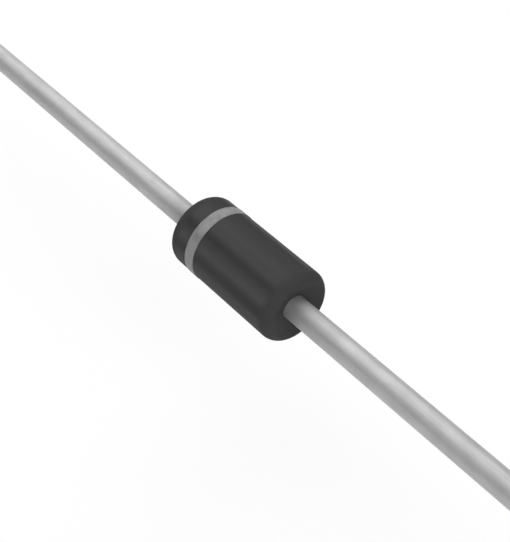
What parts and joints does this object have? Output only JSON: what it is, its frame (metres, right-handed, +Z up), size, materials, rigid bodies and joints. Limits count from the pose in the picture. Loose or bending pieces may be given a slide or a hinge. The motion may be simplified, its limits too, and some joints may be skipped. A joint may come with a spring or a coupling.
{
  "type": "zener diode",
  "caption": "Axial-lead zener diode: black moulded cylinder with rounded, dished ends, a grey cathode band and straight tinned wire leads, with the chip and its soldered nail heads inside.",
  "frame": {"origin": "middle of the moulded body, on its axis", "axes": "+X along the leads towards the anode end, away from the band; +Z up"},
  "size_m": [0.0558, 0.0026, 0.0026],
  "materials": {
    "black_epoxy": "satin black moulding compound",
    "marking_ink": "silver-grey marking ink",
    "tinned_wire": "matte tin plate on drawn copper wire",
    "silicon": "sawn silicon with metallised faces",
    "solder": "dull solder"
  },
  "bodies": {
    "root": {"moulded_body": "black_epoxy", "cathode_band": "marking_ink", "cathode_lead": "tinned_wire", "anode_lead": "tinned_wire", "silicon_die": "silicon", "cathode_solder": "solder", "anode_solder": "solder"}
  },
  "joints": []
}
